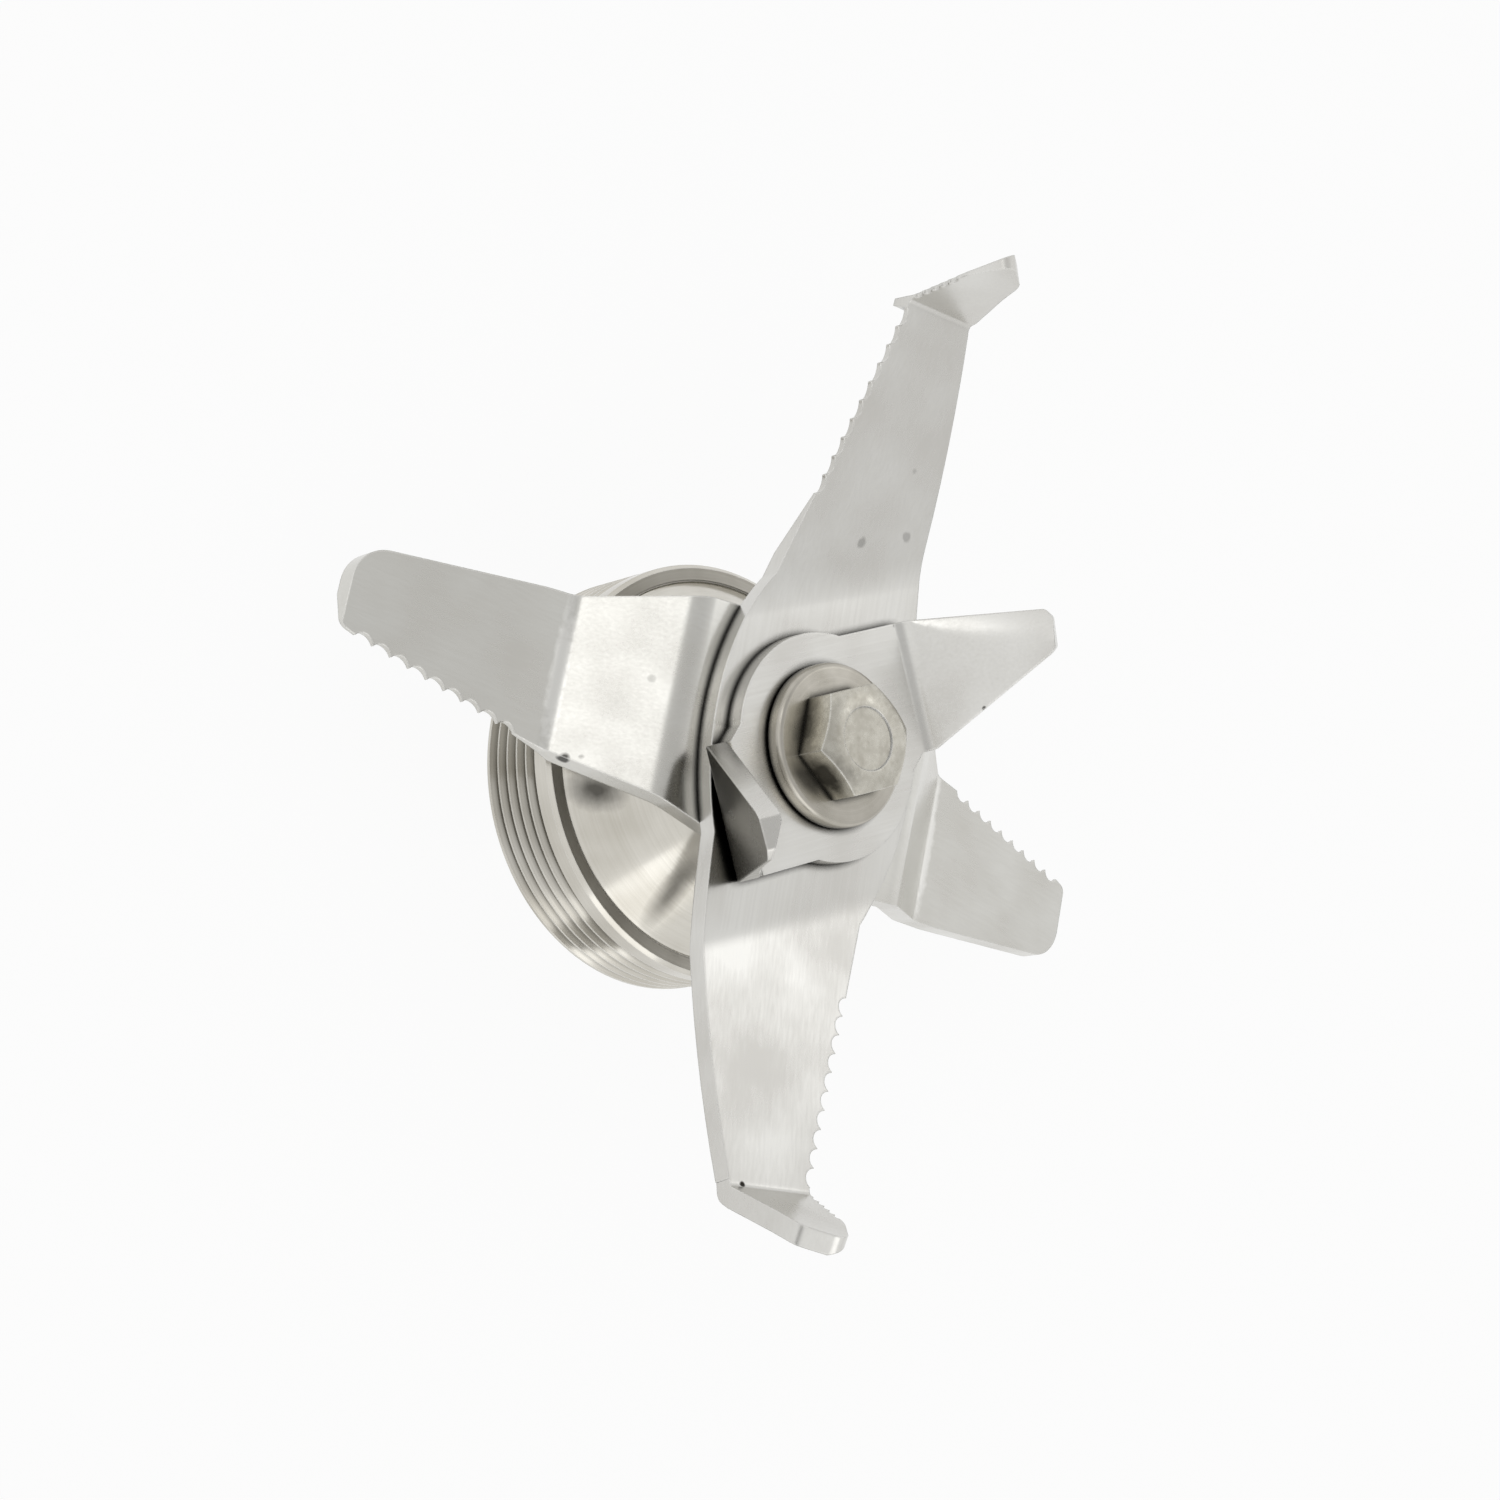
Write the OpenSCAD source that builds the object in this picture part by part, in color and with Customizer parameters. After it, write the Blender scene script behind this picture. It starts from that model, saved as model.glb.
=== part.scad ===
// Blender blade assembly: a threaded stainless collar with a bearing cone,
// and a spindle that carries three stacked, bent and serrated blades.
// The axis of rotation is Z. The collar stands on the plane z = 0, the long
// blade points along X and the low blade along Y. The rotor turns
// counter-clockwise, seen from above, so each sharp edge leads on that side.

/* [Collar] */
// Outer radius of the collar and of its thread crests
collar_r = 21; // [20:0.5:24]
// Height of the collar from its foot to its front rim
collar_h = 10.5; // [9.5:0.5:13]
// Pitch of the outer thread
thread_pitch = 1.5; // [1:0.1:1.5]
// Depth of the thread grooves
thread_depth = 0.9; // [0.4:0.05:1]
// Grooves of the thread
thread_turns = 5; // [2:1:5]
// Height of the plain foot below the thread
thread_lift = 0.95; // [0.8:0.05:1.2]
// Wall of the collar's skirt
skirt_wall = 3; // [2.6:0.1:4]
// Bevel around the collar's foot
foot_bevel = 0.7; // [0.3:0.1:0.8]
// Bevel around the outside of the front rim
rim_bevel = 0.4; // [0.2:0.1:0.6]

/* [Cone] */
// Radial width of the flat front rim
rim_w = 1.6; // [1:0.1:1.9]
// Depth of the step inside the rim
rim_step = 0.15; // [0.1:0.05:0.4]
// Radius of the cone at its top
cone_top_r = 10.4; // [10.2:0.1:12]
// Height of the cone's top above the collar's rim
cone_rise = 10.2; // [10:0.1:12]
// Wall of the cone
cone_wall = 2; // [1:0.1:2.2]
// Bevel around the cone's top
cone_bevel = 0.5; // [0.2:0.1:0.8]

/* [Bearings] */
// Radius of the spindle in the bearings
journal_r = 4; // [3.8:0.05:4]
// Outer radius of each bearing
bearing_r = 8; // [8:0.05:8.2]
// Height of each bearing
bearing_h = 5; // [4.6:0.1:5]
// Height of the two spacers between the bearings
spacer_h = 0.6; // [0.4:0.1:0.7]
// Radius of each ball
ball_r = 1.15; // [1.05:0.05:1.2]
// Balls in each bearing
ball_count = 9; // [6:1:10]
// Radial gap between a ball and its raceway
race_gap = 0.03; // [0.02:0.01:0.06]
// Thickness of the bearing shields
shield_t = 0.3; // [0.2:0.05:0.4]
// Wall of the boss around the bearings
boss_wall = 2.2; // [1.8:0.1:2.2]

/* [Seal] */
// Outer radius of the shaft seal
seal_r = 8.8; // [8.6:0.1:8.9]
// Height of the shaft seal
seal_h = 3.5; // [3.2:0.1:3.6]
// Radius of the spindle inside the seal
seal_journal_r = 5.6; // [5.4:0.1:5.7]
// Thickness of the seal's steel case
seal_case_t = 0.4; // [0.3:0.05:0.5]
// Running gap between the seal's lip and the spindle
lip_gap = 0.05; // [0.02:0.01:0.1]
// Radius of the garter spring's coil
garter_r = 0.4; // [0.3:0.05:0.5]

/* [Spindle] */
// Distance of the spindle's lower end above the collar's foot
spindle_lift = 0.8; // [0.5:0.1:1.2]
// Radius of the flange under the blades
flange_r = 8.6; // [7.5:0.1:10]
// Running gap between the flange and the housing's top
flange_gap = 0.2; // [0.15:0.05:0.3]
// Thickness of the flange
flange_t = 0.7; // [0.5:0.05:1]
// Radius of the post through the blades
post_r = 5; // [4.6:0.1:5.4]
// Distance of the post's flats from the axis
post_flat = 4.2; // [3.9:0.1:4.4]
// Gap between the post and the blades
post_gap = 0.02; // [0.01:0.01:0.05]

/* [Clips and drive] */
// Thickness of the clip in the bearing bore
bore_clip_t = 0.9; // [0.8:0.05:1]
// Thickness of the clip on the spindle
shaft_clip_t = 0.7; // [0.6:0.05:0.8]
// Depth of the clip grooves
clip_groove = 0.4; // [0.3:0.05:0.5]
// Radius of the drive hub over its splines
hub_r = 7.2; // [6.8:0.1:7.4]
// Radius of the grooves between the splines
spline_groove_r = 0.9; // [0.6:0.1:1]
// Splines on the drive hub
spline_count = 12; // [8:1:14]
// Radius of the cross pin in the drive hub
cross_pin_r = 1; // [0.8:0.1:1.2]

/* [Bolt] */
// Width of the bolt's head across its flats
bolt_flats = 10; // [9:0.5:11]
// Height of the bolt's head
bolt_head_h = 3.8; // [3:0.1:5]
// Radius of the bolt's shank
bolt_r = 3; // [2.5:0.1:3.2]
// Length of the bolt's shank
bolt_len = 15; // [12:0.5:17]
// Radius of the washer
washer_r = 8; // [7:0.1:9]
// Thickness of the washer
washer_t = 1.8; // [1:0.1:2]
// Rounding of the washer's edge
washer_round = 0.6; // [0.2:0.1:0.9]

/* [Blade sheet] */
// Thickness of the blade sheet
sheet_t = 2; // [1.6:0.1:2.2]
// Pitch of the serration
tooth_pitch = 1.88; // [1.7:0.02:2.2]
// Depth of the serration
tooth_depth = 0.66; // [0.4:0.02:0.8]
// Width of each tooth's blunt point
tooth_point = 0.1; // [0.05:0.05:0.2]
// Width of the bevel ground under the serration
edge_bevel_w = 3.4; // [2:0.1:3.8]
// Thickness left at the ground edge
edge_land = 0.35; // [0.25:0.05:0.6]

/* [Main blade] */
// Half width of the main blade across its hub
main_hub_w = 12.8; // [12.2:0.1:13.6]
// Radius of the hub's bowed sides
main_hub_bow = 31; // [28:1:40]
// Distance from the axis to the tip bend along +X
main_reach = 45; // [42:0.5:48]
// Half width at the tip bend on the sharp side
main_tip_sharp = 4.9; // [4:0.1:5.6]
// Half width at the tip bend on the blunt side
main_tip_blunt = 4.5; // [3.8:0.1:5.2]
// Distance from the axis to the upward bend
main_bend_r = 17.7; // [17:0.1:19]
// Turn of the upward bend line from square to the arm
main_skew = 28; // [15:1:30]
// Inner radius of the upward bend
main_bend_inner = 12; // [4:0.5:12]
// Rise of the arm along +X
main_rise_a = 18.5; // [8:0.5:20]
// Rise of the arm along -X
main_rise_b = 9.6; // [6:0.2:20]
// Bend of the tip along +X
tip_bend_a = 62; // [40:1:75]
// Bend of the tip along -X
tip_bend_b = 55; // [40:1:75]
// Turn of the tip bend lines from square to the arm
tip_skew = 9; // [0:1:14]
// Inner radius of the tip bends
tip_bend_inner = 1.2; // [0.8:0.1:1.8]
// Length of the bent tips
tip_len = 11; // [9:0.2:13]

/* [Low blade] */
// Turn of the low blade from square to the main blade
low_turn = -1.7; // [-6:0.1:6]
// Half width of the low blade across its hub
low_hub_w = 12.8; // [12.2:0.1:13.4]
// Distance from the axis to the tip
low_reach = 47.3; // [44:0.1:52]
// Distance from the axis to the downward bend
low_bend_r = 15.2; // [15:0.1:16]
// Slope of the step down
low_drop = 39.6; // [34:0.2:43]
// Distance from the axis to the lower bend
low_foot_r = 24.5; // [23:0.1:26]
// Droop of the outer arms
low_droop = 6.7; // [2:0.1:9]
// Inner radius of both bends
low_bend_inner = 2.6; // [1:0.1:3]
// Half width of the arms at the lower bend
low_arm_w = 7.9; // [7:0.1:9]

/* [Top blade] */
// Radius of the top blade's disc
top_disc_r = 11.2; // [10.6:0.1:11.8]
// Direction of one wing, from the +X axis
wing_turn = -60; // [-75:1:-50]
// Distance from the axis to the wing's bend
wing_bend_r = 12.9; // [12.6:0.1:13.6]
// Upward bend of the wing on the -Y side
wing_bend_a = 53; // [42:1:66]
// Upward bend of the wing on the +Y side
wing_bend_b = 62; // [42:1:66]
// Inner radius of the wing bends
wing_bend_inner = 1.5; // [1:0.1:2]
// Length of the wings beyond the bend
wing_len = 14.9; // [12:0.1:17]
// Half width of the wings' root on the sharp side
wing_root_w = 10.2; // [9.4:0.1:10.8]
// Width of the wings' ground bevel
wing_bevel_w = 3.2; // [2.4:0.1:3.6]
// Radius of the wheel that ground the bevel
wing_wheel_r = 58; // [40:1:80]

/* [Hidden] */

$fn = 96;
// Overrun of every cut
eps = collar_r / 400;
// Reach of the blocks that only trim
far = 4 * main_reach;

// Heights, from the foot up
cone_top_z = collar_h + cone_rise;
seal_z = cone_top_z - seal_h;
bearing_stop_t = 0.7;
upper_bearing_z = seal_z - bearing_stop_t - bearing_h;
lower_bearing_z = upper_bearing_z - spacer_h - bearing_h;
bore_clip_z = lower_bearing_z - bore_clip_t;
shaft_clip_z = lower_bearing_z - shaft_clip_t;
boss_foot = 0.6;
boss_z = bore_clip_z - boss_foot;
hub_clip_gap = 0.15;
hub_h = bore_clip_z - spindle_lift - hub_clip_gap;
flange_z = cone_top_z + flange_gap;
low_top_z = flange_z + flange_t + sheet_t;
main_top_z = low_top_z + sheet_t;
top_top_z = main_top_z + sheet_t;
head_z = top_top_z + washer_t;

// Bearing section
pitch_r = (journal_r + bearing_r) / 2;
race_r = ball_r + race_gap;
land_gap = 0.95;
inner_land_r = pitch_r - land_gap;
outer_land_r = pitch_r + land_gap;
shield_gap = 0.15;
cage_wall = 0.25;
cage_h_share = 3.2;
cage_h = cage_h_share * ball_r;
pocket_gap = 0.08;
clip_opening = 40;
clip_w = 1.2;

// Seal section
seal_lip_h = 1;
lip_web = 0.6;
garter_z = seal_z + seal_h / 2;
garter_pitch_r = seal_journal_r + lip_gap + lip_web + garter_r;
garter_gap = 0.02;
seal_body_r = (seal_r + garter_pitch_r) / 2;

// Tapped hole and bolt details
tap_gap = 0.02;
tap_spare = 1;
post_top_gap = 0.2;
bolt_point = 0.6;
head_corner_r = bolt_flats / 2 / cos(30);
head_bevel_share = 0.94;
head_dish = 0.15;
head_dish_share = 0.62;
washer_hole_gap = 0.2;

// Round notch that leaves the given pitch, depth and point
function notch_r(pitch, depth, point) = (pow((pitch - point) / 2, 2) + pow(depth, 2)) / (2 * depth);

bevel_angle = atan((sheet_t - edge_land) / edge_bevel_w);
bevel_runout_share = 2;
bevel_runout = edge_bevel_w * bevel_runout_share;
wing_bevel_angle = atan((sheet_t - edge_land) / wing_bevel_w);

// Arm of the main blade, as shares of its reach and hub width
main_sharp_line_share = 0.87;
main_tooth_start_share = 0.54;
main_belly_share = 0.83;
main_belly_place_share = 0.11;
main_reach_b_share = 0.973;

// Bent tip, each corner as shares of its length and half widths, then its
// rounding as a share of the length
tip_corner_shares = [[0.61, 0.88, 0.4], [1, 0.37, 0.12], [0.78, -0.42, 0.18], [0.51, -0.6, 0.25]];
tip_tooth_end_share = 0.85;
tip_tooth_depth_share = 0.6;
tip_teeth = 5;

// Arm of the low blade, each corner as shares of its reach and arm width,
// then its rounding as a share of the reach
low_sharp_shares = [[0.3, 1.35, 0.2], [0.51, 1.01, 0.3], [0.585, 0.96, 0.3]];
low_hub_bow_share = 0.6;
low_tooth_end_shares = [0.965, 0.555];
low_end_shares = [[0.998, 0.5, 0.02], [1, -0.52, 0.08]];
low_blunt_shares = [[0.585, -0.96, 0.3], [0.51, -1.01, 0.3], [0.3, -1.35, 0.2]];

// Wing of the top blade, each corner as shares of its length and root
// width, then its rounding as a share of the length
wing_corner_shares = [[0.955, 0.805, 0.05], [1, 0.71, 0.04], [0.98, 0.42, 0.04], [0.94, 0.37, 0.03]];
wing_heel_share = 0.28;
wing_heel_foot_shares = [0.29, 0.93];
wing_wheel_share = 0.87;

// Shared tools for outlines, lathed work and bent sheet

function unit(v) = v / norm(v);

// Arc that rounds the corner between two neighbours; the third value of
// each corner is its radius
function corner_arc(before, corner, after, steps = 12) =
    let (
        p = [corner[0], corner[1]],
        u = unit([before[0], before[1]] - p),
        v = unit([after[0], after[1]] - p),
        half = acos(u * v) / 2,
        room = min(norm([before[0], before[1]] - p), norm([after[0], after[1]] - p)) / 2,
        r = min(corner[2], room * tan(half)),
        centre = p + unit(u + v) * r / sin(half),
        arc_start = p + u * r / tan(half) - centre,
        arc_end = p + v * r / tan(half) - centre,
        a = atan2(arc_start[1], arc_start[0]),
        turn = atan2(arc_start[0] * arc_end[1] - arc_start[1] * arc_end[0], arc_start * arc_end)
    )
    corner[2] > 0 ? [for (i = [0:steps]) centre + r * [cos(a + turn * i / steps), sin(a + turn * i / steps)]]
        : [p];

// Closed outline with its corners rounded
function rounded(corners) =
    let (n = len(corners))
    [for (i = [0:n - 1]) each corner_arc(corners[(i + n - 1) % n], corners[i], corners[(i + 1) % n])];

// Corners from shares of a length and of the two half widths
function from_shares(table, length, w_sharp, w_blunt) =
    [for (c = table) [c[0] * length, c[1] * (c[1] > 0 ? w_sharp : w_blunt), c[2] * length]];

// Ring between two radii
module ring(r_out, r_in, h) {
    difference() {
        cylinder(r = r_out, h = h);
        translate([0, 0, -eps])
            cylinder(r = r_in, h = h + 2 * eps);
    }
}

// Direction of the line between two points
function heading(start, end) = atan2(end[1] - start[1], end[0] - start[0]);

// Change of direction at a corner of a path, upward where it is positive
function turn_at(before, p, after) = heading(p, after) - heading(before, p);

// Corner of the lower face under a corner of the upper one
function under(before, p, after) =
    let (
        a = heading(before, p),
        b = heading(p, after),
        n = [sin(a), -cos(a)],
        m = [sin(b), -cos(b)]
    )
    [p[0], p[1]] + sheet_t * (n + m) / (1 + n * m);

// Section of a bent sheet; each corner of the path along its upper face
// holds the inner radius of its bend
function sheet_section(path) =
    let (
        n = len(path),
        first = path[0],
        last = path[n - 1]
    )
    concat(
        [[first[0], first[1], 0]],
        [for (i = [1:n - 2])
            [path[i][0], path[i][1],
                path[i][2] + (turn_at(path[i - 1], path[i], path[i + 1]) < 0 ? sheet_t : 0)]],
        [[last[0], last[1], 0]],
        [concat(under(path[n - 2], last, last + last - path[n - 2]), [0])],
        [for (i = [n - 2:-1:1])
            concat(under(path[i - 1], path[i], path[i + 1]),
                [path[i][2] + (turn_at(path[i - 1], path[i], path[i + 1]) > 0 ? sheet_t : 0)])],
        [concat(under(first + first - path[1], first, path[1]), [0])]);

// Sheet bent along a path in the XZ plane, between two half widths
module bent_sheet(path, w_sharp, w_blunt) {
    rotate([90, 0, 0])
        translate([0, 0, -w_sharp])
            linear_extrude(height = w_sharp + w_blunt)
                polygon(rounded(sheet_section(path)));
}

// Point on a line that leaves a corner at the given slope
function away(corner, slope, length) = corner + length * [cos(slope), sin(slope), 0];

// Trim of a flap to its outline, drawn in the plane of its upper face
module flap_waste(outline, start) {
    translate([0, 0, -2 * sheet_t])
        linear_extrude(height = 4 * sheet_t)
            difference() {
                translate([start, -far / 2])
                    square([far, far]);
                polygon(outline);
            }
}

// Row of round notches to the right of a line in the plane
module tooth_row(start, end, count, depth) {
    step = norm(end - start) / count;
    r = notch_r(step, depth, tooth_point);
    translate(start)
        rotate(heading(start, end))
            for (i = [0:count - 1])
                translate([(i + 0.5) * step, r - depth])
                    circle(r = r);
}

// Block that grinds the lower face towards an edge from start to end, and
// runs out behind the start
module edge_grind(start, end) {
    length = norm(end - start);
    translate([start[0], start[1], -edge_land])
        rotate([0, 0, heading(start, end)])
            intersection() {
                rotate([bevel_angle, 0, 0])
                    translate([-2 * bevel_runout, -2 * edge_bevel_w, -4 * sheet_t])
                        cube([length + 4 * bevel_runout, 4 * edge_bevel_w, 4 * sheet_t]);
                rotate([0, -atan((sheet_t - edge_land) / bevel_runout), 0])
                    translate([-2 * bevel_runout, -far / 2, -far])
                        cube([far, far, far]);
            }
}

// Hole through a blade for the flattened post
module post_hole() {
    intersection() {
        cylinder(r = post_r + post_gap, h = 4 * sheet_t, center = true);
        cube([far, 2 * (post_flat + post_gap), 4 * sheet_t], center = true);
    }
}

// Collar and cone

module housing() {
    color("#b9b5ae")
        difference() {
            rotate_extrude()
                polygon([[0, 0],
                    [collar_r - foot_bevel, 0],
                    [collar_r, foot_bevel],
                    [collar_r, collar_h - rim_bevel],
                    [collar_r - rim_bevel, collar_h],
                    [collar_r - rim_w, collar_h],
                    [collar_r - rim_w, collar_h - rim_step],
                    [collar_r - rim_w - rim_step, collar_h - rim_step],
                    [cone_top_r, cone_top_z - cone_bevel],
                    [cone_top_r - cone_bevel, cone_top_z],
                    [0, cone_top_z]]);
            under_cone();
            bearing_bore();
            for (i = [0:thread_turns - 1])
                translate([0, 0, thread_lift + (i + 0.5) * thread_pitch])
                    thread_groove();
        }
}

// Space between the skirt and the bearing boss, open below
module under_cone() {
    boss_r = bearing_r + boss_wall;
    skirt_r = collar_r - skirt_wall;
    foot_r = collar_r - rim_w - rim_step;
    run = foot_r - cone_top_r;
    rise = cone_top_z - cone_bevel - collar_h + rim_step;
    wall_x = cone_wall * rise / norm([run, rise]);
    wall_z = cone_wall * run / norm([run, rise]);
    inner_foot_r = foot_r - wall_x;
    inner_foot_z = collar_h - rim_step - wall_z;
    rotate_extrude()
        polygon([[boss_r, -eps],
            [skirt_r, -eps],
            [skirt_r, inner_foot_z - (skirt_r - inner_foot_r)],
            [inner_foot_r, inner_foot_z],
            [boss_r, inner_foot_z + (inner_foot_r - boss_r) * rise / run]]);
    translate([0, 0, -eps])
        cylinder(r = boss_r + eps, h = boss_z + eps);
}

// Bore with its bearing stop, seal pocket and clip groove
module bearing_bore() {
    translate([0, 0, boss_z - eps])
        cylinder(r = bearing_r, h = seal_z - bearing_stop_t - boss_z + eps);
    translate([0, 0, boss_z])
        cylinder(r = outer_land_r, h = cone_top_z - boss_z);
    translate([0, 0, seal_z])
        cylinder(r = seal_r, h = seal_h + eps);
    translate([0, 0, bore_clip_z])
        cylinder(r = bearing_r + clip_groove, h = bore_clip_t);
}

// One groove of the collar's thread
module thread_groove() {
    mouth = thread_pitch / 2 - eps;
    root = thread_pitch / 16;
    rotate_extrude()
        polygon([[collar_r - thread_depth, -root],
            [collar_r + eps, -mouth],
            [collar_r + eps, mouth],
            [collar_r - thread_depth, root]]);
}

// Shaft seal

module seal_case() {
    color("#8f8f8c")
        translate([0, 0, seal_z])
            difference() {
                cylinder(r = seal_r, h = seal_h);
                translate([0, 0, -eps])
                    cylinder(r = seal_r - seal_case_t, h = seal_h - seal_case_t + eps);
                cylinder(r = seal_body_r, h = seal_h + eps);
            }
}

module seal_rubber() {
    lip_r = seal_journal_r + lip_gap;
    color("#2e2e30")
        difference() {
            union() {
                translate([0, 0, seal_z + seal_h - seal_lip_h])
                    ring(seal_body_r, lip_r, seal_lip_h);
                translate([0, 0, seal_z + seal_lip_h / 2])
                    ring(garter_pitch_r, lip_r, seal_h - seal_lip_h);
            }
            garter_coil(garter_r + garter_gap);
        }
}

module garter_coil(r) {
    translate([0, 0, garter_z])
        rotate_extrude()
            translate([garter_pitch_r, 0])
                circle(r = r);
}

module garter_spring() {
    color("#a8a8a4")
        garter_coil(garter_r);
}

// Bearings

module raceway(z) {
    translate([0, 0, z + bearing_h / 2])
        rotate_extrude()
            translate([pitch_r, 0])
                circle(r = race_r);
}

module outer_ring(z) {
    color("#9d9d9a")
        difference() {
            translate([0, 0, z])
                ring(bearing_r, outer_land_r, bearing_h);
            raceway(z);
        }
}

module inner_ring(z) {
    color("#a3a3a0")
        difference() {
            translate([0, 0, z])
                ring(inner_land_r, journal_r, bearing_h);
            raceway(z);
        }
}

module shields(z) {
    color("#8b8b88")
        for (shield_z = [z, z + bearing_h - shield_t])
            translate([0, 0, shield_z])
                ring(outer_land_r, inner_land_r + shield_gap, shield_t);
}

// Repeats its children on the pitch circle of a bearing
module around_pitch(z) {
    for (i = [0:ball_count - 1])
        rotate([0, 0, i * 360 / ball_count])
            translate([pitch_r, 0, z + bearing_h / 2])
                children();
}

module cage(z) {
    color("#b08d4c")
        difference() {
            translate([0, 0, z + (bearing_h - cage_h) / 2])
                ring(pitch_r + cage_wall, pitch_r - cage_wall, cage_h);
            around_pitch(z)
                sphere(r = ball_r + pocket_gap);
        }
}

module balls(z) {
    color("#c9c9c6")
        around_pitch(z)
            sphere(r = ball_r);
}

module outer_spacer() {
    color("#94948f")
        translate([0, 0, lower_bearing_z + bearing_h])
            ring(bearing_r, outer_land_r, spacer_h);
}

module inner_spacer() {
    color("#94948f")
        translate([0, 0, lower_bearing_z + bearing_h])
            ring(inner_land_r, journal_r, spacer_h);
}

// Retaining clips

// Open ring with a gap towards +X
module open_ring(r_out, r_in, h) {
    rotate([0, 0, clip_opening / 2])
        rotate_extrude(angle = 360 - clip_opening)
            translate([r_in, 0])
                square([r_out - r_in, h]);
}

module bore_clip() {
    color("#77777a")
        translate([0, 0, bore_clip_z])
            open_ring(bearing_r + clip_groove, bearing_r - clip_w, bore_clip_t);
}

module shaft_clip() {
    color("#77777a")
        translate([0, 0, shaft_clip_z])
            open_ring(journal_r + clip_w, journal_r - clip_groove, shaft_clip_t);
}

// Spindle and drive

module spindle() {
    post_h = top_top_z - post_top_gap - flange_z - flange_t;
    color("#b4b2ad")
        difference() {
            union() {
                rotate_extrude()
                    polygon([[0, spindle_lift],
                        [journal_r, spindle_lift],
                        [journal_r, shaft_clip_z],
                        [journal_r - clip_groove, shaft_clip_z],
                        [journal_r - clip_groove, lower_bearing_z],
                        [journal_r, lower_bearing_z],
                        [journal_r, seal_z - bearing_stop_t],
                        [inner_land_r, seal_z - bearing_stop_t],
                        [inner_land_r, seal_z],
                        [seal_journal_r, seal_z],
                        [seal_journal_r, flange_z],
                        [flange_r, flange_z],
                        [flange_r, flange_z + flange_t],
                        [0, flange_z + flange_t]]);
                translate([0, 0, flange_z + flange_t])
                    intersection() {
                        cylinder(r = post_r, h = post_h);
                        translate([-far / 2, -post_flat, 0])
                            cube([far, 2 * post_flat, post_h]);
                    }
            }
            translate([0, 0, head_z - bolt_len - tap_spare])
                cylinder(r = bolt_r + tap_gap, h = bolt_len + tap_spare);
            cross_pin_bore();
        }
}

// Cylinder across the drive hub, shared by pin and holes
module cross_pin_bore() {
    translate([0, 0, spindle_lift + hub_h / 2])
        rotate([90, 0, 0])
            cylinder(r = cross_pin_r, h = 2 * hub_r, center = true);
}

module drive_hub() {
    color("#8e8c88")
        difference() {
            translate([0, 0, spindle_lift])
                ring(hub_r, journal_r, hub_h);
            for (i = [0:spline_count - 1])
                rotate([0, 0, (i + 0.5) * 360 / spline_count])
                    translate([hub_r, 0, spindle_lift - eps])
                        cylinder(r = spline_groove_r, h = hub_h + 2 * eps);
            cross_pin_bore();
        }
}

module cross_pin() {
    color("#6f6f70")
        intersection() {
            cross_pin_bore();
            cylinder(r = hub_r - spline_groove_r, h = collar_h);
        }
}

// Main blade: a flat hub, two rising arms and their upturned tips

// Distance from the axis to the corner of the arm's bend, across the bend
main_bend_x = main_bend_r * cos(main_skew);

// Point of the plan in the plane of a risen arm
function to_arm(rise, p) = [
    (p[0] * cos(main_skew) + p[1] * sin(main_skew) - main_bend_x) / cos(rise),
    p[1] * cos(main_skew) - p[0] * sin(main_skew)];

// Point of a risen arm in the plan
function to_plan(rise, q) =
    let (along = q[0] * cos(rise) + main_bend_x)
    [along * cos(main_skew) - q[1] * sin(main_skew), along * sin(main_skew) + q[1] * cos(main_skew)];

// Direction of a tip in the plane of a risen arm
function tip_heading(rise) =
    atan2(sin(90 + tip_skew - main_skew), cos(90 + tip_skew - main_skew) / cos(rise)) - 90;

// Length of the upper face from the corner of a tip's bend to its start
function tip_run(angle) = tip_bend_inner * tan(angle / 2);

// Corner of an arm where its tip starts to bend, in the plan
function tip_corner(rise, reach, angle, w) =
    let (
        turn = tip_heading(rise),
        back = -tip_run(angle)
    )
    to_plan(rise, to_arm(rise, [reach, 0])
        + [back * cos(turn) - w * sin(turn), back * sin(turn) + w * cos(turn)]);

// Frame of a risen arm, at the corner of its skewed bend
module on_arm(rise) {
    rotate([0, 0, main_skew])
        translate([main_bend_x, 0, 0])
            rotate([0, -rise, 0])
                children();
}

// Frame of a tip, at the corner of its bend
module on_tip(rise, reach) {
    place = to_arm(rise, [reach, 0]);
    on_arm(rise)
        translate([place[0], place[1], 0])
            rotate([0, 0, tip_heading(rise)])
                children();
}

// Half of the hub with its bowed sides, in the plan
module main_hub_plan() {
    intersection() {
        translate([0, main_hub_bow - main_hub_w])
            circle(r = main_hub_bow);
        translate([0, main_hub_w - main_hub_bow])
            circle(r = main_hub_bow);
        translate([0, -main_hub_bow])
            square([main_hub_bow, 2 * main_hub_bow]);
    }
}

// Arm in the plan: a straight serrated edge, and a blunt edge on a wide arc
module main_arm_plan(line_start, sharp, blunt) {
    beyond = sharp + unit(sharp - line_start) * sheet_t;
    belly_w = main_hub_w * main_belly_share;
    belly_x = main_reach * main_belly_place_share;
    lift = belly_w + blunt[1];
    belly_r = (pow(blunt[0] - belly_x, 2) + pow(lift, 2)) / (2 * lift);
    intersection() {
        polygon([line_start, beyond, [beyond[0] + sheet_t, -main_hub_w], [0, -main_hub_w]]);
        translate([belly_x, belly_r - belly_w])
            circle(r = belly_r, $fn = 4 * $fn);
    }
}

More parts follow.
